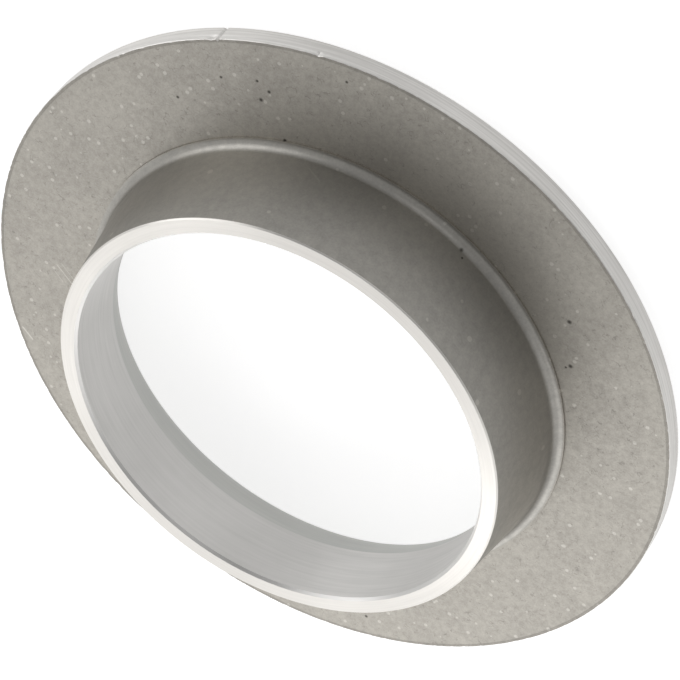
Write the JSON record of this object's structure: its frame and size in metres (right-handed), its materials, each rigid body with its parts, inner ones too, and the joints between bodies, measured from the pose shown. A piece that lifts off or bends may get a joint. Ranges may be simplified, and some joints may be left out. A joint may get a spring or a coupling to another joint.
{
  "type": "lap joint collar",
  "caption": "Flat lap disc with a short, slightly conical welding neck, a filleted root and a bell-mouthed bore, made in one piece for a loose backing flange.",
  "frame": {"origin": "centre of the gasket face, on the bore axis", "axes": "+Z along the neck, from the gasket face to the weld end"},
  "size_m": [0.138, 0.138, 0.0234],
  "materials": {
    "stainless_steel": "matte pickled skin on the lap's back and the neck, turned bright on the rim, weld end, bore and gasket face"
  },
  "bodies": {
    "root": {"lap_collar": "stainless_steel"}
  },
  "joints": []
}
